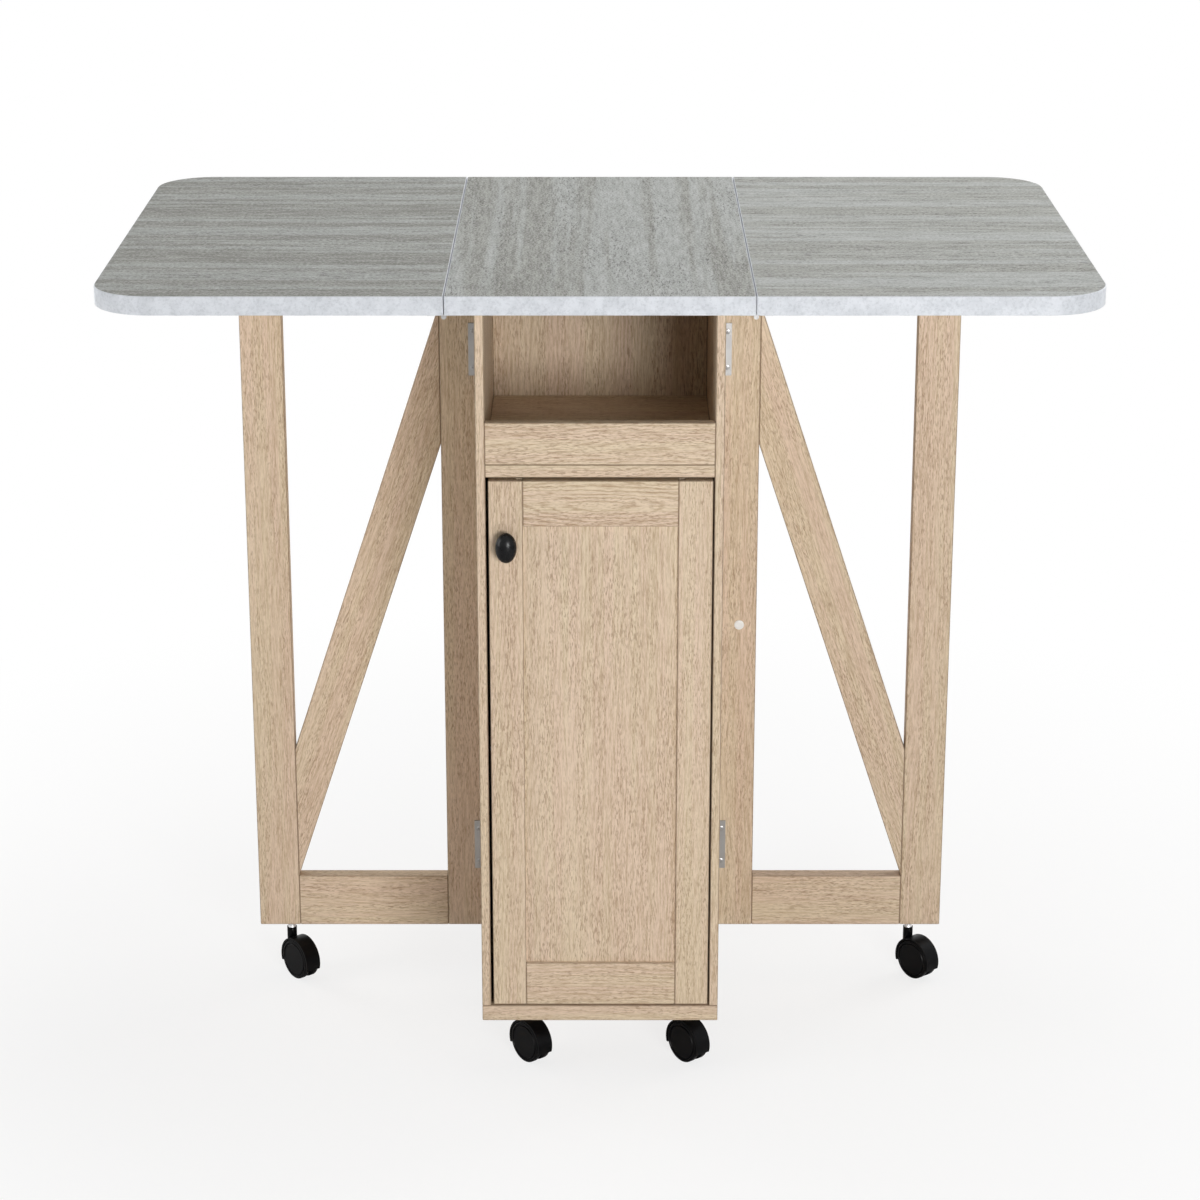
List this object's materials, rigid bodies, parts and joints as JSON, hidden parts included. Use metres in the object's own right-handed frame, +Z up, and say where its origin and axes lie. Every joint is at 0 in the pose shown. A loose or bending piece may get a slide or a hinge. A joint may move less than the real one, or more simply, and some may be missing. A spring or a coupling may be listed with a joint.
{
  "type": "drop-leaf kitchen table with storage cabinet",
  "caption": "Drop-leaf kitchen table on a narrow cabinet with an open niche, a framed door and rear shelves; swing-out gates on casters carry the rounded leaves",
  "frame": {"origin": "on the floor under the middle of the table top", "axes": "+Z up, +X across the long side of the top to the viewer's right, +Y from the door side to the open back"},
  "size_m": [0.866, 0.522, 0.75],
  "materials": {
    "oak": "satin light oak laminate",
    "top": "satin grey stone-patterned laminate",
    "steel": "zinc-plated",
    "black_plastic": "satin",
    "white_plastic": "satin",
    "knob": "satin black"
  },
  "bodies": {
    "cabinet": {"side_panel_left": "oak", "side_panel_right": "oak", "bottom_board": "oak", "niche_floor": "oak", "niche_lip": "oak", "centre_partition": "oak", "rear_shelf_low": "oak", "rear_shelf_high": "oak", "cupboard_shelf": "oak", "gate_left_hinge_plates": "steel", "leaf_left": "top", "leaf_left_hinge_plates": "steel", "leaf_left_hinge_flaps": "steel", "gate_right_hinge_plates": "steel", "leaf_right": "top", "leaf_right_hinge_plates": "steel", "leaf_right_hinge_flaps": "steel", "top_centre": "top", "shelf_supports": "steel", "top_brackets": "steel", "door_hinge_arms": "steel", "door_catch": "black_plastic"},
    "door": {"door_left_stile": "oak", "door_right_stile": "oak", "door_top_rail": "oak", "door_bottom_rail": "oak", "door_panel": "oak", "door_hinge_cups": "steel", "door_catch_plate": "steel", "door_knob": "knob"},
    "gate_left": {"gate_left_inner_post": "oak", "gate_left_outer_post": "oak", "gate_left_top_rail": "oak", "gate_left_bottom_rail": "oak", "gate_left_brace": "oak", "gate_left_glide": "white_plastic", "gate_left_hinge_flaps": "steel"},
    "gate_right": {"gate_right_inner_post": "oak", "gate_right_outer_post": "oak", "gate_right_top_rail": "oak", "gate_right_bottom_rail": "oak", "gate_right_brace": "oak", "gate_right_glide": "white_plastic", "gate_right_hinge_flaps": "steel"},
    "fork_front_left": {"caster_front_left_fork": "black_plastic"},
    "wheels_front_left": {"caster_front_left_wheels": "black_plastic"},
    "fork_front_right": {"caster_front_right_fork": "black_plastic"},
    "wheels_front_right": {"caster_front_right_wheels": "black_plastic"},
    "fork_rear_left": {"caster_rear_left_fork": "black_plastic"},
    "wheels_rear_left": {"caster_rear_left_wheels": "black_plastic"},
    "fork_rear_right": {"caster_rear_right_fork": "black_plastic"},
    "wheels_rear_right": {"caster_rear_right_wheels": "black_plastic"},
    "fork_gate_left": {"caster_gate_left_fork": "black_plastic"},
    "wheels_gate_left": {"caster_gate_left_wheels": "black_plastic"},
    "fork_gate_right": {"caster_gate_right_fork": "black_plastic"},
    "wheels_gate_right": {"caster_gate_right_wheels": "black_plastic"}
  },
  "joints": [
    {"name": "door_hinge", "type": "hinge", "parent": "cabinet", "child": "door", "pos_m": [0.0991, -0.21, 0.322], "axis": [0, 0, 1], "range_deg": [0, 95]},
    {"name": "gate_left_fold", "type": "hinge", "parent": "cabinet", "child": "gate_left", "pos_m": [-0.1115, 0.002, 0.39], "axis": [0, 0, 1], "range_deg": [0, 90]},
    {"name": "gate_right_fold", "type": "hinge", "parent": "cabinet", "child": "gate_right", "pos_m": [0.1115, 0.002, 0.39], "axis": [0, 0, -1], "range_deg": [0, 90]},
    {"name": "swivel_front_left", "type": "hinge", "parent": "cabinet", "child": "fork_front_left", "pos_m": [-0.0735, -0.17, 0.052], "axis": [0, 0, 1], "continuous": true},
    {"name": "roll_front_left", "type": "hinge", "parent": "fork_front_left", "child": "wheels_front_left", "pos_m": [-0.06482, -0.18034, 0.0195], "axis": [0.766, 0.6428, 0], "continuous": true},
    {"name": "swivel_front_right", "type": "hinge", "parent": "cabinet", "child": "fork_front_right", "pos_m": [0.0735, -0.17, 0.052], "axis": [0, 0, 1], "continuous": true},
    {"name": "roll_front_right", "type": "hinge", "parent": "fork_front_right", "child": "wheels_front_right", "pos_m": [0.08218, -0.18034, 0.0195], "axis": [0.766, 0.6428, 0], "continuous": true},
    {"name": "swivel_rear_left", "type": "hinge", "parent": "cabinet", "child": "fork_rear_left", "pos_m": [-0.0735, 0.17, 0.052], "axis": [0, 0, 1], "continuous": true},
    {"name": "roll_rear_left", "type": "hinge", "parent": "fork_rear_left", "child": "wheels_rear_left", "pos_m": [-0.06482, 0.15966, 0.0195], "axis": [0.766, 0.6428, 0], "continuous": true},
    {"name": "swivel_rear_right", "type": "hinge", "parent": "cabinet", "child": "fork_rear_right", "pos_m": [0.0735, 0.17, 0.052], "axis": [0, 0, 1], "continuous": true},
    {"name": "roll_rear_right", "type": "hinge", "parent": "fork_rear_right", "child": "wheels_rear_right", "pos_m": [0.08218, 0.15966, 0.0195], "axis": [0.766, 0.6428, 0], "continuous": true},
    {"name": "swivel_gate_left", "type": "hinge", "parent": "gate_left", "child": "fork_gate_left", "pos_m": [-0.305, 0.0125, 0.052], "axis": [0, 0, 1], "continuous": true},
    {"name": "roll_gate_left", "type": "hinge", "parent": "fork_gate_left", "child": "wheels_gate_left", "pos_m": [-0.29632, 0.00216, 0.0195], "axis": [0.766, 0.6428, 0], "continuous": true},
    {"name": "swivel_gate_right", "type": "hinge", "parent": "gate_right", "child": "fork_gate_right", "pos_m": [0.305, 0.0125, 0.052], "axis": [0, 0, 1], "continuous": true},
    {"name": "roll_gate_right", "type": "hinge", "parent": "fork_gate_right", "child": "wheels_gate_right", "pos_m": [0.31368, 0.00216, 0.0195], "axis": [0.766, 0.6428, 0], "continuous": true}
  ]
}
